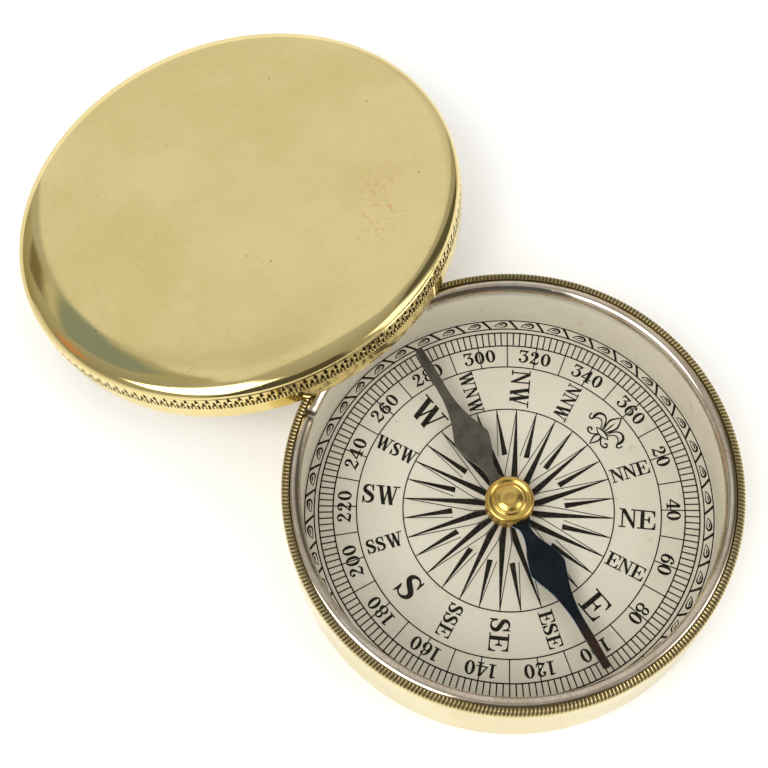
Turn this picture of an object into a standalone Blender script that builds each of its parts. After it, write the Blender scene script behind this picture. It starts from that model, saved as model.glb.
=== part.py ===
"""Pocket compass in a turned brass case, with its slip-on lid leaning on the rim.

Units are metres, +Z is up.  The origin is the centre of the case's underside,
on the needle's axis, and +Y is the dial's north.
"""

import math

import bpy

MM = 0.001

# Driving dimensions of the case
CASE_RADIUS = 35.0 * MM
CASE_HEIGHT = 16.15 * MM
CASE_WALL = 1.0 * MM
CASE_FLOOR = 1.2 * MM
RIM_ROUND = 0.9 * MM
FOOT_ROUND = 0.3 * MM

# Stack inside the case, from the floor up
PLATE_THICK = 1.1 * MM
CARD_THICK = 0.3 * MM
LINER_BORE_RADIUS = 32.6 * MM
LINER_HEIGHT = 9.4 * MM
CRYSTAL_THICK = 1.5 * MM
RING_WIRE_RADIUS = 1.15 * MM
RING_BEARING = 239.2
RING_SPLIT_ANGLE = 0.75
RING_GROOVE_DEPTH = 0.27 * MM

# Needle and its bearing
NEEDLE_LENGTH = 59.3 * MM
NEEDLE_THICK = 0.4 * MM
NEEDLE_HEIGHT = 5.8 * MM
NEEDLE_BEARING = 100.5
CAP_RADIUS = 3.85 * MM
CAP_SPIGOT_RADIUS = 1.6 * MM
CAP_BORE_RADIUS = 1.05 * MM
CAP_TOP = 8.1 * MM
CAP_FOOT = 4.35 * MM
CAP_CROWN_THICK = 0.45 * MM
JEWEL_HEIGHT = 0.75 * MM
JEWEL_CUP_DEPTH = 0.45 * MM
JEWEL_CUP_RADIUS = 0.65 * MM
PIN_RADIUS = 0.4 * MM
PIN_TAPER_LENGTH = 1.6 * MM
BOSS_RADIUS = 1.5 * MM
BOSS_COLLAR_RADIUS = 2.4 * MM
BOSS_TOP = 4.2 * MM

# Lid, and how it leans with its far edge on the ground
LID_SKIRT_RADIUS = 36.5 * MM
LID_BEAD_RADIUS = 37.0 * MM
LID_BORE_RADIUS = 35.2 * MM
LID_HEIGHT = 8.8 * MM
LID_DOME_RISE = 0.5 * MM
LID_INNER_DEPTH = 7.4 * MM
LID_SHOULDER_RADIUS = 2.4 * MM
LID_BEAD_LOW = 3.7 * MM
LID_BEAD_HIGH = 5.8 * MM
LID_REACH = 63.7 * MM
LID_BEARING = 266.7
LID_LEAN = 13.52

# Small gap that parts resting on each other keep
GAP = 0.05 * MM
EDGE_BREAK = 0.15 * MM

LARGE_STEPS = 72
MEDIUM_STEPS = 48
SMALL_STEPS = 24


def clear_scene():
    """Remove every object of the open file."""
    for thing in list(bpy.data.objects):
        bpy.data.objects.remove(thing, do_unlink=True)


def make_collection(name):
    """Return a new collection linked to the scene."""
    collection = bpy.data.collections.new(name)
    bpy.context.scene.collection.children.link(collection)
    return collection


def make_material(name, colour, roughness, metallic, alpha=1.0):
    """Return a Principled material of one colour."""
    material = bpy.data.materials.new(name)
    material.use_nodes = True
    shader = material.node_tree.nodes["Principled BSDF"]
    shader.inputs["Base Color"].default_value = (*colour, 1.0)
    shader.inputs["Roughness"].default_value = roughness
    shader.inputs["Metallic"].default_value = metallic
    shader.inputs["Alpha"].default_value = alpha
    material.diffuse_color = (*colour, alpha)
    return material


def arc(centre, radius, start, end, steps):
    """Return points of an arc in the profile plane, angles in degrees from +X."""
    points = []
    for index in range(steps + 1):
        angle = math.radians(start + (end - start) * index / steps)
        points.append((centre[0] + radius * math.cos(angle), centre[1] + radius * math.sin(angle)))
    return points


def turned(name, profile, material, collection, steps, closed=False):
    """Turn a profile of (radius, height) points, given down its outer side, about Z."""
    mesh = bpy.data.meshes.new(name)
    edges = [(index, index + 1) for index in range(len(profile) - 1)]
    if closed:
        edges.append((len(profile) - 1, 0))
    mesh.from_pydata([(radius, 0.0, height) for radius, height in profile], edges, [])
    part = bpy.data.objects.new(name, mesh)
    collection.objects.link(part)
    screw = part.modifiers.new("turning", "SCREW")
    screw.axis = "Z"
    screw.steps = steps
    screw.render_steps = steps
    screw.use_merge_vertices = True
    screw.merge_threshold = 0.000001
    screw.use_smooth_shade = True
    mesh.materials.append(material)
    return part


def bearing_point(bearing, distance, height):
    """Return the point at a compass bearing, clockwise from +Y, and a distance from the axis."""
    angle = math.radians(bearing)
    return (distance * math.sin(angle), distance * math.cos(angle), height)


def make_case(collection, brass):
    """Cup turned from one piece: floor, wall, rounded rim and the groove for the ring."""
    inner = CASE_RADIUS - CASE_WALL
    ring_height = retaining_ring_height()
    groove = inner + RING_GROOVE_DEPTH
    profile = [(0.0, CASE_FLOOR), (inner, CASE_FLOOR)]
    profile += [(inner, ring_height - 0.75 * MM), (groove, ring_height - 0.45 * MM)]
    profile += [(groove, ring_height + 0.45 * MM), (inner, ring_height + 0.75 * MM)]
    profile += arc((CASE_RADIUS - RIM_ROUND, CASE_HEIGHT - RIM_ROUND), RIM_ROUND, 90, 0, 4)
    profile += arc((CASE_RADIUS - FOOT_ROUND, FOOT_ROUND), FOOT_ROUND, 0, -90, 3)
    profile += [(0.0, 0.0)]
    return turned("case_body", profile, brass, collection, LARGE_STEPS)


def plate_top():
    """Height of the dial plate's upper face."""
    return CASE_FLOOR + GAP + PLATE_THICK


def card_top():
    """Height of the printed face."""
    return plate_top() + GAP + CARD_THICK


def crystal_bottom():
    """Height of the glass's lower face."""
    return card_top() + GAP + LINER_HEIGHT + GAP


def retaining_ring_height():
    """Height of the middle of the ring's wire."""
    return crystal_bottom() + CRYSTAL_THICK + GAP + RING_WIRE_RADIUS


def inner_radius():
    """Radius of the pieces that drop into the case's bore."""
    return CASE_RADIUS - CASE_WALL - 2 * GAP


def washer_profile(bore, radius, low, high):
    """Return a rectangular ring profile, down its outer side."""
    return [(radius, high), (radius, low), (bore, low), (bore, high)]


def make_dial(collection, brass, card, liner):
    """Plate on the floor, printed card on the plate, and the tube that stands on the card."""
    outer = inner_radius()
    hole = BOSS_RADIUS + GAP
    plate_low = CASE_FLOOR + GAP
    card_low = plate_top() + GAP
    liner_low = card_top() + GAP
    plate = washer_profile(hole, outer, plate_low, plate_top())
    turned("dial_plate", plate, brass, collection, LARGE_STEPS, closed=True)
    sheet = washer_profile(hole, outer, card_low, card_top())
    turned("dial_card", sheet, card, collection, LARGE_STEPS, closed=True)
    tube = washer_profile(LINER_BORE_RADIUS, outer, liner_low, liner_low + LINER_HEIGHT)
    turned("wall_liner", tube, liner, collection, LARGE_STEPS, closed=True)


def make_crystal(collection, glass):
    """Flat glass with its rim edges broken."""
    low = crystal_bottom()
    high = low + CRYSTAL_THICK
    outer = inner_radius()
    profile = [(0.0, high), (outer - EDGE_BREAK, high), (outer, high - EDGE_BREAK)]
    profile += [(outer, low + EDGE_BREAK), (outer - EDGE_BREAK, low), (0.0, low)]
    return turned("crystal", profile, glass, collection, LARGE_STEPS)


def make_retaining_ring(collection, silver):
    """Round wire sprung into the case's groove, with a split between its ends."""
    radius = CASE_RADIUS - CASE_WALL + RING_GROOVE_DEPTH - 2 * GAP - RING_WIRE_RADIUS
    height = retaining_ring_height()
    curve = bpy.data.curves.new("retaining_ring", "CURVE")
    curve.dimensions = "3D"
    curve.bevel_depth = RING_WIRE_RADIUS
    curve.bevel_resolution = 3
    curve.use_fill_caps = True
    spline = curve.splines.new("POLY")
    spline.points.add(LARGE_STEPS - 1)
    sweep = 360.0 - 2 * RING_SPLIT_ANGLE
    for index, point in enumerate(spline.points):
        bearing = RING_BEARING + RING_SPLIT_ANGLE + sweep * index / (LARGE_STEPS - 1)
        point.co = (*bearing_point(bearing, radius, height), 1.0)
    curve.materials.append(silver)
    ring = bpy.data.objects.new("retaining_ring", curve)
    collection.objects.link(ring)
    return ring


def make_pivot(collection, brass, steel):
    """Brass boss through the dial, and the pointed steel pin that stands in it."""
    foot = CASE_FLOOR + GAP
    collar = card_top() + GAP
    bore = PIN_RADIUS + GAP
    profile = [(bore, BOSS_TOP), (bore + 0.35 * MM, BOSS_TOP), (BOSS_RADIUS, collar + 0.5 * MM)]
    profile += [(BOSS_COLLAR_RADIUS - EDGE_BREAK, collar + 0.5 * MM)]
    profile += [(BOSS_COLLAR_RADIUS, collar + 0.5 * MM - EDGE_BREAK), (BOSS_COLLAR_RADIUS, collar)]
    profile += [(BOSS_RADIUS, collar), (BOSS_RADIUS, foot), (bore, foot)]
    turned("pivot_boss", profile, brass, collection, SMALL_STEPS, closed=True)
    tip = CAP_TOP - CAP_CROWN_THICK - GAP - JEWEL_HEIGHT + JEWEL_CUP_DEPTH - GAP
    pin = [(0.0, tip), (0.04 * MM, tip - 0.03 * MM), (PIN_RADIUS, tip - PIN_TAPER_LENGTH)]
    pin += [(PIN_RADIUS, foot), (0.0, foot)]
    turned("pivot_pin", pin, steel, collection, SMALL_STEPS)


def needle_half_outline():
    """Distance from the axis and half width along one arm, from the tip to the hub."""
    reach = NEEDLE_LENGTH / 2
    outline = [(reach, 0.45 * MM), (reach - 0.25 * MM, 0.68 * MM)]
    outline += [(0.80 * reach, 0.78 * MM), (0.68 * reach, 0.80 * MM), (0.59 * reach, 1.18 * MM)]
    outline += [(0.52 * reach, 1.72 * MM), (0.455 * reach, 2.45 * MM), (0.41 * reach, 2.92 * MM)]
    outline += [(0.38 * reach, 2.84 * MM), (0.31 * reach, 2.15 * MM), (0.25 * reach, 1.28 * MM)]
    outline += [(0.20 * reach, 0.90 * MM), (0.15 * reach, 0.92 * MM), (0.115 * reach, 1.75 * MM)]
    return outline


def make_needle(collection, axis, blued):
    """Flat steel needle with two leaf-shaped arms and an eye round the cap's spigot."""
    curve = bpy.data.curves.new("needle_blade", "CURVE")
    curve.dimensions = "2D"
    curve.fill_mode = "BOTH"
    curve.extrude = NEEDLE_THICK / 2
    half = needle_half_outline()
    eye = 2.9 * MM
    hub = [(eye * math.cos(math.radians(a)), eye * math.sin(math.radians(a))) for a in (50, 70, 90)]
    quarter = half + hub
    upper = quarter + [(-x, y) for x, y in reversed(quarter[:-1])]
    outline = upper + [(x, -y) for x, y in reversed(upper)]
    hole = CAP_SPIGOT_RADIUS + GAP
    turn = 2 * math.pi / SMALL_STEPS
    circle = [(hole * math.cos(turn * i), hole * math.sin(turn * i)) for i in range(SMALL_STEPS)]
    for points in (outline, circle):
        spline = curve.splines.new("POLY")
        spline.points.add(len(points) - 1)
        spline.use_cyclic_u = True
        for point, (x, y) in zip(spline.points, points):
            point.co = (x, y, 0.0, 1.0)
    curve.materials.append(blued)
    blade = bpy.data.objects.new("needle_blade", curve)
    collection.objects.link(blade)
    blade.parent = axis
    blade.location = (0.0, 0.0, 0.0)
    return blade


def make_cap(collection, axis, brass, stone):
    """Turned brass cap through the needle, the collar under the needle, and the cup jewel."""
    base = axis.location.z
    low = NEEDLE_THICK / 2 + GAP
    top = CAP_TOP - base
    foot = CAP_FOOT - base
    seat = top - CAP_CROWN_THICK
    profile = [(0.0, top), (1.15 * MM, top), (1.6 * MM, top - 0.15 * MM)]
    profile += [(1.95 * MM, top - 0.35 * MM), (2.15 * MM, top - 0.5 * MM)]
    profile += [(2.45 * MM, top - 0.5 * MM), (2.65 * MM, top - 0.62 * MM)]
    profile += [(2.9 * MM, top - 0.45 * MM), (3.2 * MM, top - 0.3 * MM)]
    profile += [(3.5 * MM, top - 0.42 * MM), (3.75 * MM, top - 0.85 * MM)]
    profile += [(CAP_RADIUS, top - 1.4 * MM), (CAP_RADIUS, low), (CAP_SPIGOT_RADIUS, low)]
    profile += [(CAP_SPIGOT_RADIUS, foot), (CAP_BORE_RADIUS, foot), (CAP_BORE_RADIUS, seat), (0.0, seat)]
    cap = turned("needle_cap", profile, brass, collection, MEDIUM_STEPS)
    cap.parent = axis
    high = -NEEDLE_THICK / 2 - GAP
    bore = CAP_SPIGOT_RADIUS + GAP
    ring = [(bore, high), (CAP_RADIUS, high), (CAP_RADIUS, high - 0.35 * MM)]
    ring += [(3.7 * MM, foot + 0.4 * MM), (3.4 * MM, foot + 0.1 * MM), (3.0 * MM, foot), (bore, foot)]
    collar = turned("cap_collar", ring, brass, collection, MEDIUM_STEPS, closed=True)
    collar.parent = axis
    crown = seat - GAP
    mouth = crown - JEWEL_HEIGHT
    outer = CAP_BORE_RADIUS - GAP
    cup = [(0.0, crown), (outer, crown), (outer, mouth), (JEWEL_CUP_RADIUS, mouth)]
    cup += [(0.0, mouth + JEWEL_CUP_DEPTH)]
    jewel = turned("cap_jewel", cup, stone, collection, SMALL_STEPS)
    jewel.parent = axis


def lid_profile():
    """Profile of the lid about its own axis, from the crown down outside and up inside."""
    shoulder = LID_SHOULDER_RADIUS
    edge = LID_BEAD_RADIUS - 0.15 * MM
    eave = LID_HEIGHT - LID_DOME_RISE
    points = [(0.0, LID_HEIGHT), (0.35 * LID_SKIRT_RADIUS, LID_HEIGHT - 0.06 * MM)]
    points += [(0.7 * LID_SKIRT_RADIUS, LID_HEIGHT - 0.23 * MM)]
    points += arc((edge - shoulder, eave - shoulder), shoulder, 88, 0, 6)
    points += [(LID_BEAD_RADIUS, LID_BEAD_HIGH), (LID_BEAD_RADIUS, LID_BEAD_LOW)]
    points += [(LID_SKIRT_RADIUS, LID_BEAD_LOW - 0.2 * MM), (LID_SKIRT_RADIUS, EDGE_BREAK)]
    points += [(LID_SKIRT_RADIUS - EDGE_BREAK, 0.0), (LID_BORE_RADIUS, 0.0)]
    corner = 0.8 * MM
    points += arc((LID_BORE_RADIUS - corner, LID_INNER_DEPTH - corner), corner, 0, 90, 2)
    points += [(0.0, LID_INNER_DEPTH)]
    return points


def make_lid(collection, seat, brass):
    """Turned slip-on lid: domed top, rounded shoulder, raised bead and plain skirt."""
    lid = turned("lid_cover", lid_profile(), brass, collection, LARGE_STEPS)
    lid.parent = seat
    return lid


def make_empty(name, location, rotation, collection):
    """Return an empty that carries a moving group."""
    empty = bpy.data.objects.new(name, None)
    empty.empty_display_size = 5 * MM
    empty.location = location
    empty.rotation_euler = rotation
    collection.objects.link(empty)
    return empty


def main():
    """Build the compass."""
    clear_scene()
    parts = make_collection("pocket_compass")
    case_brass = make_material("case_brass", (0.72, 0.58, 0.28), 0.24, 1.0)
    lid_brass = make_material("lid_brass", (0.74, 0.62, 0.33), 0.18, 1.0)
    cap_brass = make_material("cap_brass", (0.80, 0.52, 0.14), 0.16, 1.0)
    plate_brass = make_material("plate_brass", (0.62, 0.48, 0.22), 0.4, 1.0)
    silver = make_material("ring_silver", (0.75, 0.70, 0.66), 0.15, 1.0)
    card = make_material("dial_card", (0.66, 0.62, 0.52), 0.8, 0.0)
    liner = make_material("liner_card", (0.64, 0.60, 0.50), 0.7, 0.0)
    steel = make_material("pin_steel", (0.55, 0.55, 0.56), 0.25, 1.0)
    blued = make_material("blued_steel", (0.05, 0.06, 0.09), 0.35, 1.0)
    glass = make_material("crystal_glass", (0.95, 0.98, 0.97), 0.03, 0.0, alpha=0.15)
    stone = make_material("jewel_stone", (0.45, 0.2, 0.12), 0.2, 0.0)

    make_case(parts, case_brass)
    make_dial(parts, plate_brass, card, liner)
    make_crystal(parts, glass)
    make_retaining_ring(parts, silver)
    make_pivot(parts, cap_brass, steel)

    needle_turn = math.radians(90.0 - NEEDLE_BEARING)
    needle_place = (0.0, 0.0, NEEDLE_HEIGHT)
    needle_axis = make_empty("needle_axis", needle_place, (0.0, 0.0, needle_turn), parts)
    make_needle(parts, needle_axis, blued)
    make_cap(parts, needle_axis, cap_brass, stone)

    lean = math.radians(LID_LEAN)
    lid_height = LID_SKIRT_RADIUS * math.sin(lean) + GAP
    lid_place = bearing_point(LID_BEARING, LID_REACH, lid_height)
    lid_turn = (0.0, lean, math.radians(90.0 - LID_BEARING))
    lid_seat = make_empty("lid_seat", lid_place, lid_turn, parts)
    make_lid(parts, lid_seat, lid_brass)


main()
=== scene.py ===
"""Looks of the pocket compass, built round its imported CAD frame.

Units are metres unless a name ends in _MM.  Bearings run clockwise from +Y, the dial's north.
"""

import math

import bmesh
import bpy
import numpy as np
from mathutils import Matrix, Vector
from mathutils.geometry import delaunay_2d_cdt


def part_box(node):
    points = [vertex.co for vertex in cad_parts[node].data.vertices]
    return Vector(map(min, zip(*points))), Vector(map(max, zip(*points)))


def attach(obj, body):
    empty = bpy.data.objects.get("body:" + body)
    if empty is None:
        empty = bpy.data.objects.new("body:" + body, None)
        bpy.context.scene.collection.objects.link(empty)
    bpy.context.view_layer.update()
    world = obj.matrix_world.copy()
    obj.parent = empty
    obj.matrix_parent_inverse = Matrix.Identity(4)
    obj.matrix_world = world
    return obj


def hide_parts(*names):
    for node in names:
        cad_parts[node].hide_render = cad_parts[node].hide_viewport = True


MM = 0.001

# Camera, fitted to the dial's circles
CAMERA_LENS = 75.0
CAMERA_SENSOR = 36.0
CAMERA_OFFSET_MM = (48.758, -55.732, 243.794)
CAMERA_RIGHT = (0.62610, 0.77924, -0.02786)
CAMERA_DOWN = (0.72089, -0.59210, -0.36019)

# Dial print, in millimetres
STAR_RADIUS = 16.69
LETTER_RADIUS = 24.07
TICK_INNER = 27.80
TICK_OUTER = 30.10
BORDER_INNER = 30.80
BORDER_OUTER = 32.30
INK_LIFT = 0.004
INK_THICK = 0.016

# Milling, as counts round the rim of the case and of the lid, and cutting depths
CASE_RIDGES = 367
CASE_CUT_MM = 0.15
LID_MOTIFS = 135
LID_CUT_MM = 0.24

# Needle, in millimetres: length of an arm and radius of the eye
NEEDLE_REACH = 29.65
NEEDLE_EYE = 1.66

# Marks on the lid, in metres from its open rim
LID_RING = 0.0190
STAIN_CENTRE = (-0.0205, -0.0145, 0.0086)

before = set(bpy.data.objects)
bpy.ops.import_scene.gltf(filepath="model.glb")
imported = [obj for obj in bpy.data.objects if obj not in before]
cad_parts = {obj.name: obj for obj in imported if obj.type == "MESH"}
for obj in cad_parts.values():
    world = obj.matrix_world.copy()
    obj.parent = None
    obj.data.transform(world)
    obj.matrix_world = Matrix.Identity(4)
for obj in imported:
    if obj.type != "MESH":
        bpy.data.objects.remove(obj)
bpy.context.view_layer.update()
scene = bpy.context.scene


# ---------------------------------------------------------------- node materials


class Nodes:
    """Short calls that add nodes to a tree."""

    def __init__(self, tree):
        self.tree = tree

    def put(self, socket, value):
        """Set or link one input socket."""
        if isinstance(value, bpy.types.NodeSocket):
            self.tree.links.new(value, socket)
        elif isinstance(value, tuple) and len(value) == 3 and socket.type == "RGBA":
            socket.default_value = (*value, 1.0)
        else:
            socket.default_value = value

    def node(self, kind, values=(), **settings):
        """Add a node, set its properties and its inputs by index or name."""
        made = self.tree.nodes.new(kind)
        for key, value in settings.items():
            setattr(made, key, value)
        for key, value in dict(values).items():
            self.put(made.inputs[key], value)
        return made

    def math(self, operation, *values, clamp=False):
        made = self.node("ShaderNodeMath", operation=operation, use_clamp=clamp)
        for index, value in enumerate(values):
            self.put(made.inputs[index], value)
        return made.outputs[0]

    def plus(self, first, second):
        return self.math("ADD", first, second)

    def times(self, first, second):
        return self.math("MULTIPLY", first, second)

    def vector_math(self, operation, first, second):
        return self.node("ShaderNodeVectorMath", {0: first, 1: second}, operation=operation).outputs

    def noise(self, vector, scale, detail=3.0, rough=0.5):
        values = {"Vector": vector, "Scale": scale, "Detail": detail, "Roughness": rough}
        return self.node("ShaderNodeTexNoise", values).outputs["Fac"]

    def streaks(self, vector, scale, turn=0.0, detail=3.0, rough=0.6):
        """Noise stretched along one direction, turned about Z by an angle in radians."""
        values = {"Vector": vector, "Scale": scale, "Rotation": (0.0, 0.0, turn)}
        return self.noise(self.node("ShaderNodeMapping", values).outputs[0], 1.0, detail, rough)

    def specks(self, vector, scale, radius):
        """Small round dots, one in each cell of a Voronoi pattern."""
        values = {"Vector": vector, "Scale": scale}
        away = self.node("ShaderNodeTexVoronoi", values, feature="F1").outputs["Distance"]
        return self.band(away, 0.02, radius, 1.0, 0.0)

    def band(self, value, low, high, out_low=0.0, out_high=1.0):
        """Map value from low..high to out_low..out_high, smoothly and clamped."""
        values = {"Value": value, "From Min": low, "From Max": high, "To Min": out_low, "To Max": out_high}
        return self.node("ShaderNodeMapRange", values, interpolation_type="SMOOTHSTEP").outputs[0]

    def mix(self, factor, first, second):
        """Mix two colours: the inputs are the colour sockets of a node that mixes every type."""
        return self.node("ShaderNodeMix", {0: factor, 6: first, 7: second}, data_type="RGBA").outputs[2]


class Painter(Nodes):
    """Builds one Principled material from short calls."""

    def __init__(self, name, local=False, **settings):
        self.material = bpy.data.materials.new(name)
        self.material.use_nodes = True
        super().__init__(self.material.node_tree)
        self.local = local
        self.shader = self.tree.nodes["Principled BSDF"]
        for socket, value in settings.items():
            self.shader.inputs[socket.replace("_", " ")].default_value = value

    def place(self):
        """Coordinates in metres: the kept local ones if the piece has them, or else its object's."""
        if self.local:
            return self.node("ShaderNodeAttribute", attribute_name="local").outputs["Vector"]
        return self.node("ShaderNodeTexCoord").outputs["Object"]

    def attribute(self, name):
        return self.node("ShaderNodeAttribute", attribute_name=name).outputs["Fac"]

    def surface(self, colour, roughness, height=None, strength=0.2, distance=0.00005):
        """Link the colour, roughness and bump of the shader."""
        self.put(self.shader.inputs["Base Color"], colour)
        self.put(self.shader.inputs["Roughness"], roughness)
        if height is not None:
            values = {"Height": height, "Strength": strength, "Distance": distance}
            self.put(self.shader.inputs["Normal"], self.node("ShaderNodeBump", values).outputs[0])
        return self.material


# ---------------------------------------------------------------- mesh helpers


def finish_mesh(name, vertices, faces, material, sharp_deg=30.0):
    """Make an object of a closed mesh, with outward normals and smooth shading between sharp edges."""
    mesh = bpy.data.meshes.new(name)
    mesh.from_pydata([tuple(v) for v in vertices], [], faces)
    work = bmesh.new()
    work.from_mesh(mesh)
    bmesh.ops.recalc_face_normals(work, faces=work.faces)
    work.to_mesh(mesh)
    work.free()
    mesh.polygons.foreach_set("use_smooth", [True] * len(mesh.polygons))
    mesh.set_sharp_from_angle(angle=math.radians(sharp_deg))
    mesh.materials.append(material)
    made = bpy.data.objects.new(name, mesh)
    scene.collection.objects.link(made)
    return made


def keep_values(made, name, values):
    """Store one number for each point of a mesh."""
    attribute = made.data.attributes.new(name, "FLOAT", "POINT")
    attribute.data.foreach_set("value", np.array(values, np.float32))


def smooth_path(points, per_span):
    """Catmull-Rom points through the given tuples of any length."""
    knots = [np.array(p, float) for p in points]
    knots = [2 * knots[0] - knots[1]] + knots + [2 * knots[-1] - knots[-2]]
    path = []
    for index in range(1, len(knots) - 2):
        p0, p1, p2, p3 = knots[index - 1 : index + 3]
        for step in range(per_span):
            t = step / per_span
            bend = (2 * p0 - 5 * p1 + 4 * p2 - p3) * t * t + (3 * p1 - p0 - 3 * p2 + p3) * t**3
            path.append(0.5 * (2 * p1 + (p2 - p0) * t + bend))
    path.append(knots[-2])
    return path


def arc(centre_r, centre_z, radius_r, radius_z, start, end, count):
    """Points (r, z) of an elliptical arc, angles in degrees from +r."""
    angles = np.radians(np.linspace(start, end, count))
    return [(centre_r + radius_r * math.cos(a), centre_z + radius_z * math.sin(a)) for a in angles]


def lathe(name, rows, material, closed=False, sharp_deg=30.0, mask_name=None):
    """Turn rows of (radius, height, steps, relief) about Z.

    relief(angles) returns a depth, which is cut inward along a normal (r, z), and a mask, which is
    kept as the attribute named by mask_name.  A radius of 0 makes a single vertex.  The step
    counts of neighbouring rows are in a whole ratio.
    """
    vertices, masks, starts, counts = [], [], [], []
    for radius, height, steps, relief in rows:
        starts.append(len(vertices))
        if radius <= 0.0:
            counts.append(1)
            vertices.append((0.0, 0.0, height))
            masks.append(0.0)
            continue
        counts.append(steps)
        angles = np.arange(steps) * (2 * math.pi / steps)
        depth, normal_r, normal_z, mask = relief(angles) if relief else (0.0, 0.0, 0.0, np.zeros(steps))
        rr = np.full(steps, radius) - depth * normal_r
        zz = np.full(steps, height) - depth * normal_z
        vertices += list(zip(rr * np.cos(angles), rr * np.sin(angles), zz))
        masks += list(mask)
    faces = []
    for second in [*range(1, len(rows)), 0] if closed else range(1, len(rows)):
        a, b, na, nb = starts[second - 1], starts[second], counts[second - 1], counts[second]
        fine = max(na, nb)
        if na == 1 or nb == 1:
            tip, ring = (a, b) if na == 1 else (b, a)
            faces += [(tip, ring + j, ring + (j + 1) % fine) for j in range(fine)]
        elif na == nb:
            faces += [(a + j, b + j, b + (j + 1) % na, a + (j + 1) % na) for j in range(na)]
        else:
            coarse = min(na, nb)
            ratio = fine // coarse
            fine_start, coarse_start = (a, b) if na > nb else (b, a)
            for j in range(coarse):
                run = [fine_start + (j * ratio + k) % fine for k in range(ratio + 1)]
                faces.append((*run, coarse_start + (j + 1) % coarse, coarse_start + j))
    made = finish_mesh(name, vertices, faces, material, sharp_deg)
    if mask_name:
        keep_values(made, mask_name, masks)
    return made


def settle(made, matrix):
    """Move a piece's mesh by matrix, keeping where each point was as the attribute local."""
    mesh = made.data
    points = np.zeros(len(mesh.vertices) * 3, np.float32)
    mesh.vertices.foreach_get("co", points)
    attribute = mesh.attributes.new("local", "FLOAT_VECTOR", "POINT")
    attribute.data.foreach_set("vector", points)
    mesh.transform(matrix)
    mesh.update()


def plain_rows(points, steps):
    """Rows with no relief, from points in millimetres."""
    return [(r * MM, z * MM, steps, None) for r, z in points]


# ---------------------------------------------------------------- flat print


def ribbon(points, per_span=5):
    """Outline of a pen stroke through (x, y, width) points."""
    path = smooth_path(points, per_span)
    left, right = [], []
    for index, point in enumerate(path):
        ahead, behind = path[min(index + 1, len(path) - 1)], path[max(index - 1, 0)]
        along = np.array(ahead[:2]) - np.array(behind[:2])
        along /= max(np.linalg.norm(along), 1e-9)
        side = np.array((-along[1], along[0])) * point[2] / 2
        left.append(tuple(point[:2] + side))
        right.append(tuple(point[:2] - side))
    return left + right[::-1]


def ellipse(x, y, rx, ry, count=36):
    """Points of an ellipse."""
    turns = [2 * math.pi * i / count for i in range(count)]
    return [(x + rx * math.cos(t), y + ry * math.sin(t)) for t in turns]


def box2(x0, y0, x1, y1):
    """Corners of an upright rectangle."""
    return [(x0, y0), (x1, y0), (x1, y1), (x0, y1)]


def ring2(x, y, rx, ry, side, top):
    """A ring with thick sides and a thin top and bottom, as an outline and its hole."""
    return (ellipse(x, y, rx, ry), ellipse(x, y, rx - side, ry - top))


def slant(x0, x1, width, low=0.0, high=1.0):
    """A slanted stem from x0 at the top to x1 at the foot."""
    half = width / 2
    return [(x0 - half, high), (x0 + half, high), (x1 + half, low), (x1 - half, low)]


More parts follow.
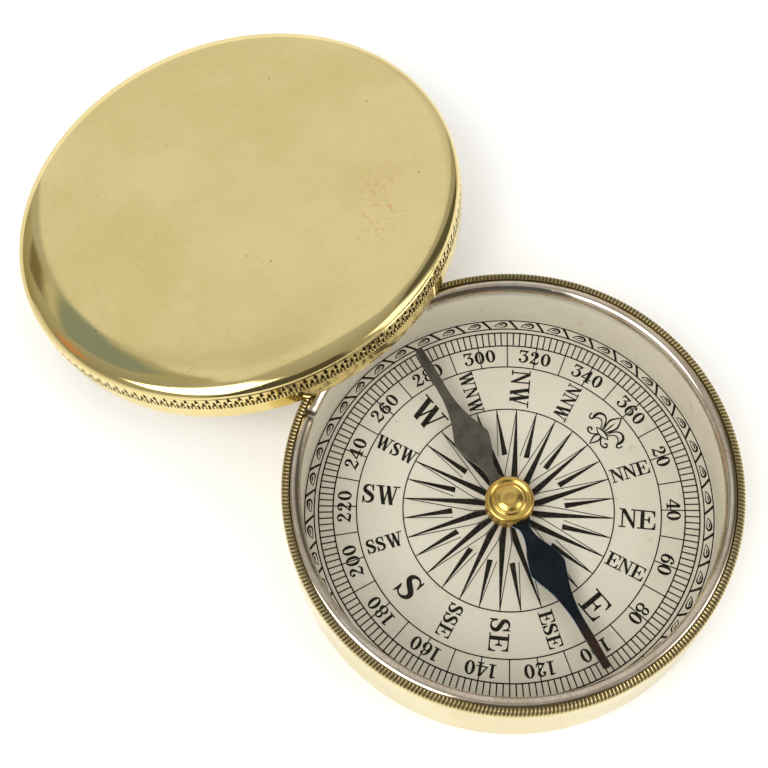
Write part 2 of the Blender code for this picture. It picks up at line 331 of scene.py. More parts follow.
# Each glyph is its advance width and its shapes, for a capital height of 1
GLYPHS = {
    "E": (0.98, [
        box2(0.16, 0.0, 0.34, 1.0), box2(0.0, 0.955, 0.88, 1.0), box2(0.0, 0.0, 0.90, 0.045),
        [(0.60, 0.97), (0.76, 0.93), (0.83, 0.85), (0.865, 0.69), (0.90, 0.69), (0.89, 1.0), (0.60, 1.0)],
        box2(0.30, 0.48, 0.60, 0.525),
        [(0.46, 0.50), (0.56, 0.45), (0.60, 0.33), (0.635, 0.33), (0.635, 0.68), (0.60, 0.68), (0.56, 0.56)],
        [(0.60, 0.03), (0.78, 0.07), (0.86, 0.16), (0.90, 0.34), (0.935, 0.34), (0.92, 0.0), (0.60, 0.0)],
    ]),
    "N": (0.96, [
        box2(0.135, 0.0, 0.19, 0.98), box2(0.0, 0.0, 0.325, 0.045), box2(0.0, 0.955, 0.22, 1.0),
        [(0.08, 1.0), (0.29, 1.0), (0.80, 0.16), (0.80, -0.02), (0.745, -0.02), (0.10, 0.97)],
        box2(0.745, -0.02, 0.80, 1.0), box2(0.61, 0.955, 0.935, 1.0),
    ]),
    "W": (1.42, [
        slant(0.245, 0.50, 0.20, -0.02), slant(0.73, 0.50, 0.055, -0.02), slant(0.70, 0.945, 0.20, -0.02),
        slant(1.195, 0.945, 0.055, -0.02), box2(0.0, 0.955, 0.46, 1.0), box2(1.0, 0.955, 1.40, 1.0),
    ]),
    "S": (0.80, [
        ribbon([(0.625, 0.70, 0.05), (0.585, 0.85, 0.05), (0.44, 0.965, 0.055), (0.26, 0.945, 0.10),
                (0.145, 0.83, 0.16), (0.15, 0.68, 0.19), (0.30, 0.565, 0.205), (0.46, 0.475, 0.21),
                (0.60, 0.36, 0.195), (0.615, 0.20, 0.165), (0.50, 0.07, 0.11), (0.33, 0.025, 0.055),
                (0.17, 0.10, 0.05), (0.10, 0.30, 0.05)]),
        [(0.60, 1.02), (0.635, 1.02), (0.655, 0.66), (0.62, 0.66), (0.57, 0.84)],
        [(0.05, -0.03), (0.085, -0.03), (0.15, 0.16), (0.09, 0.36), (0.055, 0.36)],
    ]),
    "0": (0.86, [ring2(0.37, 0.5, 0.36, 0.51, 0.20, 0.055)]),
    "1": (0.64, [
        box2(0.20, 0.0, 0.38, 1.0), box2(0.04, 0.0, 0.54, 0.05),
        [(0.22, 1.0), (0.04, 0.93), (0.04, 0.89), (0.22, 0.91)],
    ]),
    "2": (0.86, [
        ribbon([(0.10, 0.74, 0.06), (0.13, 0.90, 0.06), (0.30, 0.975, 0.07), (0.49, 0.91, 0.15),
                (0.555, 0.74, 0.19), (0.47, 0.56, 0.13), (0.28, 0.35, 0.06), (0.07, 0.07, 0.05)]),
        ellipse(0.155, 0.755, 0.095, 0.095, 16),
        ribbon([(0.03, 0.03, 0.03), (0.16, 0.11, 0.12), (0.34, 0.08, 0.15), (0.52, 0.045, 0.13),
                (0.64, 0.12, 0.07), (0.685, 0.27, 0.04)]),
    ]),
    "3": (0.88, [
        [(0.05, 1.0), (0.70, 1.0), (0.70, 0.965), (0.62, 0.90), (0.20, 0.90), (0.11, 0.84), (0.09, 0.72),
         (0.055, 0.72)],
        slant(0.665, 0.35, 0.075, 0.58, 0.98),
        ribbon([(0.31, 0.60, 0.05), (0.46, 0.615, 0.08), (0.61, 0.52, 0.155), (0.655, 0.33, 0.19),
                (0.57, 0.13, 0.13), (0.38, 0.02, 0.065), (0.19, 0.05, 0.06), (0.09, 0.17, 0.05)]),
        ellipse(0.135, 0.205, 0.09, 0.09, 16),
    ]),
    "4": (0.90, [
        box2(0.44, 0.0, 0.61, 1.0), box2(0.0, 0.25, 0.80, 0.305), box2(0.31, 0.0, 0.74, 0.05),
        [(0.44, 1.0), (0.50, 1.0), (0.50, 0.93), (0.065, 0.28), (0.0, 0.28), (0.0, 0.305)],
    ]),
    "6": (0.86, [
        ring2(0.365, 0.31, 0.345, 0.325, 0.18, 0.05),
        ribbon([(0.11, 0.32, 0.17), (0.125, 0.58, 0.17), (0.22, 0.81, 0.12), (0.38, 0.965, 0.06),
                (0.53, 0.95, 0.05), (0.62, 0.86, 0.04)]),
        ellipse(0.565, 0.835, 0.085, 0.085, 16),
    ]),
    "8": (0.84, [
        ring2(0.36, 0.755, 0.275, 0.26, 0.135, 0.05), ring2(0.36, 0.275, 0.345, 0.29, 0.155, 0.05),
    ]),
}


def outer_and_hole(shape):
    """Every shape as an outline and a hole, which may be None."""
    return shape if isinstance(shape, tuple) else (shape, None)


def place_shapes(shapes, origin, across, up, scale):
    """Move shapes drawn in (x, y) to origin + x * across + y * up."""
    placed = []
    for shape in shapes:
        parts = []
        for ring in outer_and_hole(shape):
            if ring is not None:
                ring = [tuple(origin + (x * across + y * up) * scale) for x, y in ring]
            parts.append(ring)
        placed.append(tuple(parts))
    return placed


def bearing_axes(bearing):
    """Unit vectors outward and clockwise at a bearing in degrees."""
    angle = math.radians(bearing)
    outward = np.array((math.sin(angle), math.cos(angle)))
    return outward, np.array((outward[1], -outward[0]))


def text_shapes(text, bearing, radius, reading, height, squeeze=1.0, rise=0.0):
    """Letters centred at a bearing and radius.  reading is outward, inward, round or upturned."""
    outward, clockwise = bearing_axes(bearing)
    across, up = {
        "outward": (outward, -clockwise),
        "inward": (-outward, clockwise),
        "round": (clockwise, outward),
        "upturned": (-clockwise, -outward),
    }[reading]
    width = sum(GLYPHS[letter][0] for letter in text)
    pen = -width / 2 + 0.03
    centre = outward * radius + up * rise
    shapes = []
    for letter in text:
        advance, drawn = GLYPHS[letter]
        origin = centre + (across * pen * squeeze - up * 0.5) * height
        shapes += place_shapes(drawn, origin, across * squeeze, up, height)
        pen += advance
    return shapes


def annulus(radius, width):
    """A printed circle."""
    outer, inner = radius + width / 2, radius - width / 2
    return (ellipse(0, 0, outer, outer, 360), ellipse(0, 0, inner, inner, 360))


def polar(bearing, radius, offset=0.0):
    """A point at a bearing and radius, moved clockwise by offset."""
    outward, clockwise = bearing_axes(bearing)
    return tuple(outward * radius + clockwise * offset)


def tick(bearing, inner, outer, width):
    """A printed radial line."""
    corners = ((inner, -1), (outer, -1), (outer, 1), (inner, 1))
    return [polar(bearing, radius, side * width / 2) for radius, side in corners]


def star_shapes():
    """Thirty-two rays: a black wedge clockwise of each axis and a fine outline on its other side."""
    shapes = []
    line, root, meet, foot = 0.13, 2.6, 5.3, 8.95
    side = meet * math.tan(math.radians(11.25))
    tip = STAR_RADIUS - 0.05
    for bearing in np.arange(16) * 22.5:
        before, after = bearing - 11.25, bearing + 11.25
        shapes.append([polar(bearing, tip, 0.07), polar(bearing, meet, side * 0.98),
                       polar(after, root), polar(bearing, root), polar(bearing, tip, -0.05)])
        shapes.append([polar(bearing, tip, -0.07), polar(bearing, meet + 0.2, -side - 0.02),
                       polar(before, root, 0.02), polar(before, root, line),
                       polar(bearing, meet + 0.3, -side + line), polar(bearing, tip - 0.6, 0.02),
                       polar(bearing, tip, 0.03)])
        shapes.append([polar(after, tip, 0.06), polar(after, foot, 0.90), polar(after, foot - 0.12),
                       polar(after, tip, -0.05)])
        shapes.append([polar(after, tip, -0.06), polar(after, foot - 0.1, -0.70),
                       polar(after, foot - 0.1, -0.70 + line), polar(after, tip - 0.6, 0.02)])
    return shapes


def lily_shapes():
    """A plain lily mark for north, drawn as pen strokes: five on each side and two across."""
    half = [
        [(0.0, 3.60, 0.05), (0.42, 2.95, 0.14), (0.86, 1.95, 0.20), (0.72, 1.05, 0.17), (0.38, 0.15, 0.10),
         (0.30, -0.25, 0.08)],
        [(0.62, -0.20, 0.09), (0.85, 0.70, 0.12), (1.45, 1.55, 0.14), (2.25, 1.80, 0.22),
         (2.95, 1.35, 0.34), (3.10, 0.60, 0.36), (2.98, 0.05, 0.22), (3.25, -0.35, 0.14),
         (3.65, -0.10, 0.12), (3.75, 0.45, 0.10)],
        [(0.95, -0.15, 0.06), (1.30, 0.50, 0.08), (1.90, 0.85, 0.10), (2.45, 0.70, 0.10), (2.80, 0.30, 0.06)],
        [(0.45, -1.15, 0.07), (0.85, -1.75, 0.12), (1.45, -2.10, 0.17), (2.05, -1.95, 0.20),
         (2.20, -1.50, 0.18), (1.85, -1.25, 0.14), (1.60, -1.50, 0.20)],
        [(0.18, -1.05, 0.06), (0.50, -1.75, 0.13), (0.42, -2.35, 0.16), (0.0, -3.30, 0.06)],
    ]
    across = [
        [(-1.40, -0.62, 0.04), (-0.75, -0.30, 0.13), (0.0, -0.20, 0.18), (0.75, -0.30, 0.13),
         (1.40, -0.62, 0.04)],
        [(-1.40, -0.60, 0.04), (-0.70, -0.98, 0.11), (0.0, -1.10, 0.14), (0.70, -0.98, 0.11),
         (1.40, -0.60, 0.04)],
    ]
    strokes = [ribbon(stroke) for stroke in half]
    shapes = strokes + [[(-x, y) for x, y in shape] for shape in strokes]
    shapes += [ribbon(stroke) for stroke in across]
    shapes.append([(0.0, 2.35), (0.07, 1.4), (0.05, -0.1), (-0.05, -0.1), (-0.07, 1.4)])
    outward, clockwise = bearing_axes(0.0)
    return place_shapes(shapes, outward * 20.35, clockwise, outward, 0.98)


def border_shapes():
    """Forty-five slanted strokes with a leaf between them."""
    shapes = []
    low, high = BORDER_INNER, BORDER_OUTER
    upper = ribbon([(-1.22, -0.28, 0.06), (-0.76, 0.10, 0.13), (-0.18, 0.34, 0.18), (0.38, 0.36, 0.26),
                    (0.76, 0.12, 0.32), (0.86, -0.14, 0.22)])
    lower = ribbon([(0.84, -0.10, 0.20), (0.54, -0.32, 0.18), (0.02, -0.38, 0.08), (-0.50, -0.34, 0.05),
                    (-1.12, -0.30, 0.04)])
    inner = ribbon([(-0.44, -0.08, 0.06), (-0.06, 0.06, 0.15), (0.34, 0.00, 0.10)])
    leaf = thicken([upper, lower, inner], 0.03)
    for foot in 1.0 + 8.0 * np.arange(45):
        shapes.append([polar(foot - 0.30, low), polar(foot + 0.50, low), polar(foot - 0.25, low + 0.52),
                       polar(foot - 1.80, high), polar(foot - 2.85, high), polar(foot - 1.60, low + 0.80)])
        outward, clockwise = bearing_axes(foot + 3.35)
        shapes += place_shapes(leaf, outward * (low + high) / 2, clockwise, outward, 1.0)
    return shapes


def print_shapes():
    """Everything printed on the dial, in millimetres."""
    circles = ((STAR_RADIUS, 0.21), (LETTER_RADIUS, 0.21), (TICK_INNER, 0.23), (TICK_OUTER, 0.24),
               (BORDER_INNER, 0.21), (BORDER_OUTER, 0.20))
    shapes = [annulus(radius, width) for radius, width in circles]
    shapes += [tick(2 * index, TICK_INNER, TICK_OUTER, 0.22) for index in range(180)]
    shapes += [tick(10 * index, LETTER_RADIUS, TICK_INNER, 0.19) for index in range(36)]
    heights = {1: 3.9, 2: 3.0, 3: 2.2}
    rise = 0.25
    text = []
    for degrees in range(20, 361, 20):
        text += text_shapes(str(degrees), degrees, 26.0, "round", 2.1)
    for index, name in enumerate(["NNE", "NE", "ENE", "E", "ESE", "SE", "SSE"]):
        text += text_shapes(name, 22.5 * (index + 1), 20.3, "outward", heights[len(name)], 1.0, rise)
    for index, name in enumerate(["SSW", "SW", "WSW", "W", "WNW", "NW", "NNW"]):
        squeeze = 1.04 if len(name) == 1 else 0.9
        text += text_shapes(name, 202.5 + 22.5 * index, 20.4, "inward", heights[len(name)], squeeze, rise)
    text += text_shapes("S", 180.0, 20.2, "upturned", 4.1)
    return shapes + thicken(text, 0.045) + star_shapes() + thicken(lily_shapes(), 0.06) + border_shapes()


def thicken(shapes, amount):
    """Move every outline outward, and every hole's edge inward, by amount."""
    bolder = []
    for shape in shapes:
        parts = []
        for ring, away in zip(outer_and_hole(shape), (amount, -amount)):
            if ring is not None:
                points = np.array(counter_clockwise(ring), float)
                ahead = np.roll(points, -1, 0) - points
                ahead /= np.maximum(np.linalg.norm(ahead, axis=1), 1e-9)[:, None]
                normals = np.stack([ahead[:, 1], -ahead[:, 0]], 1)
                before = np.roll(normals, 1, 0)
                spread = np.maximum(1.0 + (normals * before).sum(1), 0.6)
                ring = [tuple(p) for p in points + (normals + before) / spread[:, None] * away]
            parts.append(ring)
        bolder.append(tuple(parts))
    return bolder


def counter_clockwise(ring):
    """The same outline, turned so that its inside is on the left."""
    points = np.array(ring)
    ahead = np.roll(points, -1, 0)
    area = (points[:, 0] * ahead[:, 1] - points[:, 1] * ahead[:, 0]).sum()
    return ring if area > 0 else ring[::-1]


def print_solid(name, shapes, bottom, thickness, material):
    """One closed thin solid that is the union of all shapes."""
    points, rings, tags = [], [], []
    for index, shape in enumerate(shapes):
        for hole, ring in enumerate(outer_and_hole(shape)):
            if ring is None:
                continue
            start = len(points)
            points += [Vector(p) for p in counter_clockwise(ring)]
            rings.append(list(range(start, len(points))))
            tags.append((index, hole))
    solved = delaunay_2d_cdt(points, [], rings, 1, 1e-5, True)
    flat, faces, sources = solved[0], solved[2], solved[5]
    inked = []
    for face, inside in zip(faces, sources):
        outers = {tags[i][0] for i in inside if tags[i][1] == 0}
        holes = {tags[i][0] for i in inside if tags[i][1] == 1}
        if outers - holes:
            inked.append(face)
    used = sorted({v for face in inked for v in face})
    index_of = {v: i for i, v in enumerate(used)}
    count = len(used)
    low = [(flat[v][0] * MM, flat[v][1] * MM, bottom) for v in used]
    high = [(x, y, bottom + thickness) for x, y, _ in low]
    edges, solid = {}, []
    for face in inked:
        ids = [index_of[v] for v in face]
        solid.append([i + count for i in ids])
        solid.append(ids[::-1])
        for a, b in zip(ids, ids[1:] + ids[:1]):
            edges[(a, b)] = True
    for a, b in edges:
        if (b, a) not in edges:
            solid.append([a, b, b + count, a + count])
    return finish_mesh(name, low + high, solid, material, 20.0)


# ---------------------------------------------------------------- materials


def brass_material(name, deep, pale, roughness, groove=None, stains=False, turned=0.0,
                   grime_and_shade=(0.15, 0.11, 0.055), grime_and_shade_full=0.75):
    """Polished brass with tarnished clouds, fine scratches and turning marks; its milling is darkened partly
    by deposits and partly by painted shade and dark reflection.
    """
    paint = Painter(name, local=stains, Metallic=1.0)
    place = paint.place()
    clouds = paint.noise(place, 48.0, 5.0, 0.62)
    fine = paint.noise(place, 900.0, 3.0, 0.6)
    grain = paint.streaks(place, (260.0, 4200.0, 4200.0), 0.12, 3.0, 0.65)
    one_way = paint.band(paint.streaks(place, (30.0, 2600.0, 2600.0), 0.55, 2.0), 0.66, 0.74)
    other_way = paint.band(paint.streaks(place, (2300.0, 40.0, 2300.0), -0.35, 2.0), 0.68, 0.76)
    scratches = paint.math("MAXIMUM", one_way, other_way)
    hairs = paint.streaks(place, (900.0, 7000.0, 7000.0), 0.8, 3.0, 0.7)
    micro = paint.math("MAXIMUM", hairs, paint.streaks(place, (7000.0, 1100.0, 7000.0), 0.25, 3.0, 0.7))
    colour = paint.mix(paint.band(clouds, 0.35, 0.68), pale, deep)
    colour = paint.mix(paint.times(scratches, 0.13), colour, (0.50, 0.40, 0.20))
    colour = paint.mix(paint.band(grain, 0.35, 0.75, 0.0, 0.10), colour, (0.62, 0.50, 0.26))
    colour = paint.mix(paint.band(micro, 0.50, 0.78, 0.0, 0.22), colour, (0.42, 0.33, 0.15))
    rough = paint.band(clouds, 0.3, 0.75, roughness * 0.8, roughness * 1.35)
    rough = paint.plus(rough, paint.times(scratches, 0.10))
    rough = paint.plus(rough, paint.times(fine, 0.03))
    rough = paint.plus(rough, paint.band(micro, 0.52, 0.80, 0.0, 0.10))
    height = paint.plus(paint.times(scratches, -0.25), paint.times(fine, 0.25))
    height = paint.plus(height, paint.times(micro, 0.5))
    if turned:
        rings = turning_marks(paint, from_axis(paint, place), turned)
        height = paint.plus(height, paint.times(rings, 0.8))
        rough = paint.plus(rough, paint.band(rings, 0.4, 0.7, 0.0, 0.05))
        colour = paint.mix(paint.band(rings, 0.45, 0.7, 0.0, 0.30), colour, deep)
    if stains:
        colour, rough = lid_marks(paint, place, colour, rough)
    # Painted shade: the milling's cuts are darkened partly as deposits and partly as painted shade and dark
    # reflection in the cuts.
    if groove:
        dirt_and_shade = paint.band(paint.attribute(groove), grime_and_shade_full * 0.2, grime_and_shade_full)
        colour = paint.mix(dirt_and_shade, colour, grime_and_shade)
        rough = paint.plus(rough, paint.times(dirt_and_shade, 0.4))
    return paint.surface(colour, rough, height, 0.2, 0.00002)


def from_axis(paint, place):
    """Distance of a point from the Z axis."""
    x, y, _ = paint.node("ShaderNodeSeparateXYZ", {"Vector": place}).outputs
    return paint.math("SQRT", paint.plus(paint.math("POWER", x, 2.0), paint.math("POWER", y, 2.0)))


def turning_marks(paint, radius, scale):
    """Noise that changes only with the radius."""
    values = {"W": paint.times(radius, scale), "Scale": 1.0, "Detail": 2.0}
    return paint.node("ShaderNodeTexNoise", values, noise_dimensions="1D").outputs["Fac"]


def lid_marks(paint, place, colour, rough):
    """Pink stains in one place, a few dark specks, a duller upper edge and a faint worn ring."""
    patch = paint.noise(place, 85.0, 2.0, 0.5)
    blots = paint.noise(place, 1050.0, 3.0, 0.65)
    radius = from_axis(paint, place)
    offset = paint.vector_math("SUBTRACT", place, STAIN_CENTRE)["Vector"]
    reach = []
    for weights in ((-0.45, 0.42, 0.0), (0.82, 0.89, 0.0)):
        part = paint.vector_math("DOT_PRODUCT", offset, weights)["Value"]
        reach.append(paint.times(part, part))
    near = paint.band(paint.math("SQRT", paint.plus(*reach)), 0.0015, 0.0080, 1.0, 0.0)
    pink = paint.times(paint.times(near, paint.band(blots, 0.54, 0.65)), paint.band(patch, 0.30, 0.50))
    colour = paint.mix(paint.times(pink, 0.70), colour, (0.80, 0.43, 0.27))
    here = paint.band(paint.noise(place, 130.0, 1.0), 0.49, 0.56)
    dots = paint.times(paint.specks(place, 240.0, 0.06), here)
    colour = paint.mix(paint.times(dots, 0.7), colour, (0.12, 0.09, 0.05))
    above = paint.node("ShaderNodeSeparateXYZ", {"Vector": place}).outputs[2]
    edge = paint.times(paint.band(radius, 0.0345, 0.0364), paint.band(above, 0.0061, 0.0065))
    colour = paint.mix(paint.times(edge, 0.50), colour, (0.46, 0.35, 0.13))
    off_ring = paint.math("ABSOLUTE", paint.math("SUBTRACT", radius, LID_RING))
    ring = paint.times(paint.band(off_ring, 0.00003, 0.00016, 1.0, 0.0), paint.band(patch, 0.50, 0.66))
    colour = paint.mix(paint.times(ring, 0.16), colour, (0.50, 0.40, 0.20))
    return colour, paint.plus(rough, paint.times(pink, 0.12))


def silver_material(name):
    """Plated wire, a little warm, with worn patches, an uneven tarnished tone, darker on the side in the
    case's groove, and painted shade on its broken ends.
    """
    paint = Painter(name, Metallic=1.0)
    place = paint.place()
    tone = paint.noise(place, 120.0, 3.0, 0.6)
    pits = paint.noise(place, 1500.0, 2.0, 0.6)
    worn = paint.times(paint.band(pits, 0.58, 0.70), paint.band(tone, 0.45, 0.6))
    uneven = paint.band(pits, 0.3, 0.7, -0.12, 0.12)
    # Painted shade on the broken ends and darkening on the side in the groove, mixed with an uneven tarnished
    # tone.
    tarnish_and_shade = paint.math("ADD", paint.attribute("ring_darkening"), uneven, clamp=True)
    colour = paint.mix(paint.band(tone, 0.35, 0.7), (0.68, 0.59, 0.47), (0.53, 0.44, 0.33))
    colour = paint.mix(paint.times(worn, 0.45), colour, (0.50, 0.36, 0.22))
    colour = paint.mix(tarnish_and_shade, colour, (0.13, 0.10, 0.08))
    rough = paint.plus(paint.band(tone, 0.3, 0.7, 0.08, 0.16), paint.band(pits, 0.6, 0.75, 0.0, 0.10))
    rough = paint.plus(rough, paint.times(tarnish_and_shade, 0.25))
    return paint.surface(colour, rough, pits, 0.12, 0.00001)


def paper_material(name, base, shade, speck_gain=1.0):
    """Aged card: fibre mottling, faint foxing and a few dark specks."""
    paint = Painter(name)
    place = paint.place()
    clouds = paint.noise(place, 45.0, 4.0, 0.6)
    fibre = paint.streaks(place, (1500.0, 5200.0, 1500.0), 0.0, 3.0, 0.7)
    grain = paint.noise(place, 4200.0, 2.0, 0.6)
    tint = paint.plus(paint.band(fibre, 0.3, 0.7, 0.0, 0.05), paint.band(grain, 0.3, 0.7, 0.0, 0.05))
    foxing = paint.times(paint.band(paint.noise(place, 330.0, 2.0), 0.66, 0.74), 0.22 * speck_gain)
    here = paint.band(paint.noise(place, 210.0, 1.0), 0.60, 0.66)
    dots = paint.times(paint.specks(place, 420.0, 0.07), here)
    colour = paint.mix(paint.band(clouds, 0.3, 0.72), base, shade)
    colour = paint.mix(tint, colour, (0.30, 0.26, 0.18))
    colour = paint.mix(foxing, colour, (0.42, 0.30, 0.17))
    colour = paint.mix(paint.times(dots, 0.7), colour, (0.12, 0.09, 0.06))
    rough = paint.band(fibre, 0.3, 0.7, 0.72, 0.86)
    return paint.surface(colour, rough, paint.plus(fibre, grain), 0.15, 0.00002)


def ink_material(name):
    """Letterpress ink, slightly uneven."""
    paint = Painter(name, Specular_IOR_Level=0.12)
    uneven = paint.noise(paint.place(), 1600.0, 3.0, 0.7)
    colour = paint.mix(paint.band(uneven, 0.45, 0.72), (0.010, 0.007, 0.005), (0.038, 0.028, 0.020))
    return paint.surface(colour, paint.band(uneven, 0.3, 0.7, 0.55, 0.75), uneven, 0.1, 0.000005)


def needle_material(name):
    """Steel, browned on one arm and blued on the other, with a rusty tip and bevelled edges lightened partly
    as rubbed steel and partly as a painted glint.
    """
    paint = Painter(name, local=True, Metallic=0.85)
    place = paint.place()
    along = paint.node("ShaderNodeSeparateXYZ", {"Vector": place}).outputs[0]
    cloud = paint.noise(place, 260.0, 4.0, 0.65)
    grain = paint.streaks(place, (250.0, 2600.0, 2600.0))
    brown = paint.mix(paint.band(cloud, 0.35, 0.7), (0.140, 0.118, 0.095), (0.085, 0.070, 0.058))
    blue = paint.mix(paint.band(cloud, 0.35, 0.7), (0.004, 0.007, 0.013), (0.012, 0.015, 0.023))
    rust = paint.mix(paint.band(cloud, 0.4, 0.65), (0.058, 0.026, 0.018), (0.024, 0.013, 0.012))
    colour = paint.mix(paint.band(along, -0.0015, 0.0005), brown, blue)
    tip = paint.plus(along, paint.band(cloud, 0.2, 0.8, -0.002, 0.002))
    colour = paint.mix(paint.band(tip, 0.0195, 0.0255), colour, rust)
    scuffs = paint.times(paint.band(grain, 0.62, 0.72), paint.band(cloud, 0.45, 0.6))
    colour = paint.mix(paint.times(scuffs, 0.35), colour, (0.13, 0.12, 0.10))
    # Painted highlight: the pale blue on the bevelled edges stands in partly for rubbed steel and partly for
    # a glint.
    edge = paint.band(paint.attribute("edge"), 0.3, 0.9)
    worn = paint.mix(paint.band(along, -0.001, 0.001), (0.14, 0.15, 0.15), (0.22, 0.34, 0.42))
    colour = paint.mix(paint.times(edge, paint.band(cloud, 0.35, 0.6)), colour, worn)
    rough = paint.plus(paint.band(cloud, 0.3, 0.7, 0.30, 0.46), paint.band(grain, 0.4, 0.7, 0.0, 0.08))
    return paint.surface(colour, rough, grain, 0.15, 0.00001)


def glass_material(name):
    """Thin clear window: it reflects by Fresnel at its front faces and lets light straight through."""
    material = bpy.data.materials.new(name)
    material.use_nodes = True
    material.node_tree.nodes.clear()
    glass = Nodes(material.node_tree)
    smear = glass.noise(glass.node("ShaderNodeTexCoord").outputs["Object"], 90.0, 4.0)
    values = {"Value": smear, "From Min": 0.45, "From Max": 0.75, "To Min": 0.02, "To Max": 0.10}
    haze = glass.node("ShaderNodeMapRange", values).outputs[0]
    gloss = glass.node("ShaderNodeBsdfGlossy", {"Roughness": haze})
    clear = glass.node("ShaderNodeBsdfTransparent", {"Color": (0.975, 0.985, 0.970)})
    fresnel = glass.node("ShaderNodeFresnel", {"IOR": 1.17}).outputs[0]
    behind = glass.node("ShaderNodeNewGeometry").outputs["Backfacing"]
    share = glass.math("SUBTRACT", fresnel, behind, clamp=True)
    blend = glass.node("ShaderNodeMixShader", {0: share, 1: clear.outputs[0], 2: gloss.outputs[0]})
    glass.node("ShaderNodeOutputMaterial", {"Surface": blend.outputs[0]})
    return material


def steel_material(name):
    """Ground steel of the pivot pin."""
    paint = Painter(name, Metallic=1.0)
    grain = paint.streaks(paint.place(), (400.0, 400.0, 9000.0))
    colour = paint.mix(paint.band(grain, 0.3, 0.7), (0.56, 0.56, 0.58), (0.42, 0.42, 0.44))
    return paint.surface(colour, paint.band(grain, 0.3, 0.7, 0.18, 0.34), grain, 0.2, 0.00001)


def stone_material(name):
    """Polished agate cup."""
    paint = Painter(name)
    bands = paint.streaks(paint.place(), (900.0, 900.0, 3000.0), 0.0, 4.0)
    colour = paint.mix(paint.band(bands, 0.35, 0.65), (0.42, 0.16, 0.09), (0.24, 0.08, 0.05))
    return paint.surface(colour, paint.band(bands, 0.3, 0.7, 0.08, 0.18), bands, 0.05, 0.00001)


# ---------------------------------------------------------------- pieces


def smoothstep(low, high, value):
    """Smooth 0 to 1 ramp of numbers or arrays."""
    t = np.clip((value - low) / (high - low), 0.0, 1.0)
    return t * t * (3 - 2 * t)


def case_relief(angle_deg, share):
    """Relief of one row of the case's milled rim.  share runs 0 to 1 across the milling."""
    normal_r, normal_z = math.cos(math.radians(angle_deg)), math.sin(math.radians(angle_deg))
    slant = 0.55 * share
    fade = float(1 - smoothstep(0.84, 1.0, share))
    # Painted shade fades towards the outer rows, where the brass mirrors bright light.
    outer_fade = 1 - 0.6 * float(smoothstep(0.35, 0.85, share))

    def relief(angles):
        phase = angles * CASE_RIDGES / (2 * math.pi) + slant
        cut = (0.5 + 0.5 * np.cos(2 * math.pi * phase)) ** 0.9
        # The mask darkens the cuts partly as deposits and partly as painted shade.
        return CASE_CUT_MM * MM * fade * cut, normal_r, normal_z, (0.32 + 0.68 * cut) * fade * outer_fade
    return relief


def stained(angles):
    """No relief, but a darkened row of the lip over the ring: deposits and painted shade."""
    return np.zeros(len(angles)), 1.0, 0.0, np.full(len(angles), 0.62)


def make_case_piece(material):
    """Case: floor, wall with the ring's groove, and the milled rim."""
    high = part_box("case_body")[1]
    radius, height = high.x / MM, high.z / MM
    wall, floor, groove, lip, rim, foot = 1.0, 1.2, 0.27, 0.27, 0.9, 0.3
    inner = radius - wall
    ring_low, ring_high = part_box("retaining_ring")
    wire = (ring_low.z + ring_high.z) / 2 / MM
    steps, ridge = CASE_RIDGES, CASE_RIDGES * 6
    inside = [(0.0, floor), (inner * 0.5, floor), (inner - 0.1, floor), (inner, floor + 0.1)]
    inside += [(inner, wire - 0.75), (inner + groove, wire - 0.45)]
    over_ring = [(inner + groove, wire + 0.30), (inner + 0.02, wire + 0.76), (inner - 0.24, wire + 1.01)]
    rows = plain_rows(inside, steps) + [(r * MM, z * MM, steps, stained) for r, z in over_ring]
    rows += plain_rows([(inner - lip, height - 0.19)], steps)
    rows += [((inner + r) * MM, height * MM, ridge, case_relief(90.0, 0.0)) for r in (-0.24, -0.10)]
    bends, drops, drop = 13, 2, 0.16
    last = bends + drops - 1
    for index in range(bends):
        angle = 90.0 - 90.0 * index / (bends - 1)
        r = radius - rim + rim * math.cos(math.radians(angle))
        z = height - rim + rim * math.sin(math.radians(angle))
        rows.append((r * MM, z * MM, ridge, case_relief(angle, index / last)))
    for index in range(1, drops + 1):
        relief = case_relief(0.0, (bends - 1 + index) / last)
        rows.append((radius * MM, (height - rim - drop * index) * MM, ridge, relief))
    side = height - rim
    outside = [(radius, side - drop * drops - 0.15), (radius, side * 0.7), (radius, side * 0.4)]
    outside += [(radius, foot + 0.1)] + arc(radius - foot, foot, foot, foot, 0, -90, 7)
    outside += [(radius * 0.7, 0.0), (radius * 0.35, 0.0), (0.0, 0.0)]
    rows += plain_rows(outside, steps)
    made = lathe("case_shell", rows, material, mask_name="groove")
    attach(made, "case")
    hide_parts("case_body")


def make_liner_piece(material):
    """Cream tube between the dial and the glass, its edges slightly rounded."""
    low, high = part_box("wall_liner")
    bore, outer = 32.6, high.x / MM
    z0, z1 = low.z / MM, high.z / MM
    points = [(outer, z1 - 0.1), (outer - 0.1, z1), (bore + 0.12, z1), (bore + 0.03, z1 - 0.04)]
    points += [(bore, z1 - 0.14), (bore, z0 * 0.33 + z1 * 0.67), (bore, z0 * 0.67 + z1 * 0.33)]
    points += [(bore, z0 + 0.1), (bore + 0.06, z0), (outer - 0.06, z0), (outer, z0 + 0.06)]
    made = lathe("liner_tube", plain_rows(points, 288), material, closed=True)
    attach(made, "case")
    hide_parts("wall_liner")


